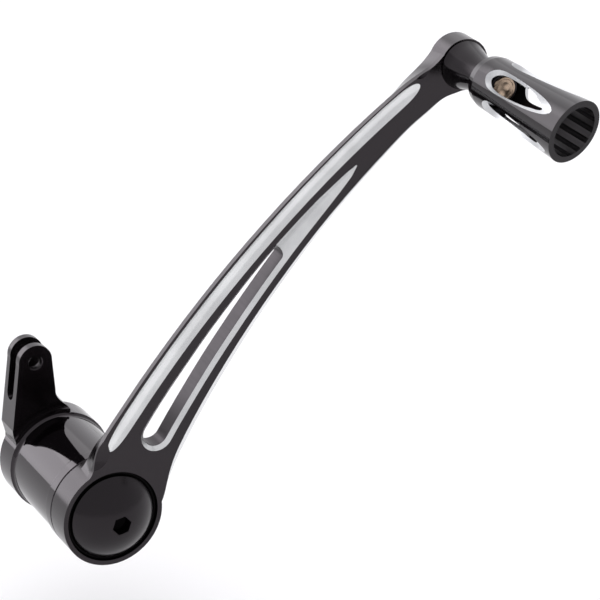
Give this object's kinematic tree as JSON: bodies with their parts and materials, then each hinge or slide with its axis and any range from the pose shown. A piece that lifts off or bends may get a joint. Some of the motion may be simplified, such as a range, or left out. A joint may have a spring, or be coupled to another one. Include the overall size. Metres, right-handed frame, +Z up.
{
  "type": "gear shift lever",
  "caption": "Motorcycle foot lever: bowed slotted arm with a tubular cross peg at one end, a domed pivot hub and a pushrod clevis at the other.",
  "frame": {"origin": "on the pivot axis at the shoulder of the pivot's mounting stud, where the hexagon seats on the motorcycle's bracket", "axes": "+Y along the pivot axis toward the motorcycle, -Y outward to the rider's foot, +Z up; the arm rises from the hub toward +X"},
  "size_m": [0.2141, 0.2029, 0.2233],
  "materials": {
    "arm_black": "black anodised, semi-gloss, machined details bright",
    "gloss_black": "black, polished to a high gloss",
    "satin_black": "black anodised, satin",
    "steel": "turned steel",
    "black_steel": "black oxide",
    "bronze": "sintered bronze",
    "brass": "polished",
    "rubber": "matt",
    "plastic": "matt"
  },
  "bodies": {
    "pivot": {"pivot_shaft": "steel", "retaining_bolt": "black_steel", "retaining_washer": "steel", "thrust_washer": "bronze"},
    "lever": {"lever_arm": "arm_black", "hub_barrel": "gloss_black", "front_ring": "gloss_black", "rear_collar": "gloss_black", "clevis_bracket": "arm_black", "hub_cap": "satin_black", "cap_oring": "rubber", "front_bush": "bronze", "rear_bush": "bronze", "front_seal": "rubber", "rear_seal": "rubber", "arm_screws": "black_steel", "arm_dowels": "steel", "clevis_screws": "black_steel", "collar_screws": "black_steel", "peg_neck": "gloss_black", "peg_bolt": "black_steel", "peg_washer": "steel", "bolt_cap": "plastic", "cap_disc": "brass"},
    "peg": {"peg_sleeve": "gloss_black", "peg_bush": "bronze", "peg_seal": "rubber"}
  },
  "joints": [
    {"name": "lever_pivot", "type": "hinge", "parent": "pivot", "child": "lever", "pos_m": [0, 0, 0], "axis": [0, 1, 0], "range_deg": [-12, 12]},
    {"name": "peg_spin", "type": "hinge", "parent": "lever", "child": "peg", "pos_m": [0.17516, -0.1061, 0.18394], "axis": [0, 1, 0], "continuous": true}
  ]
}
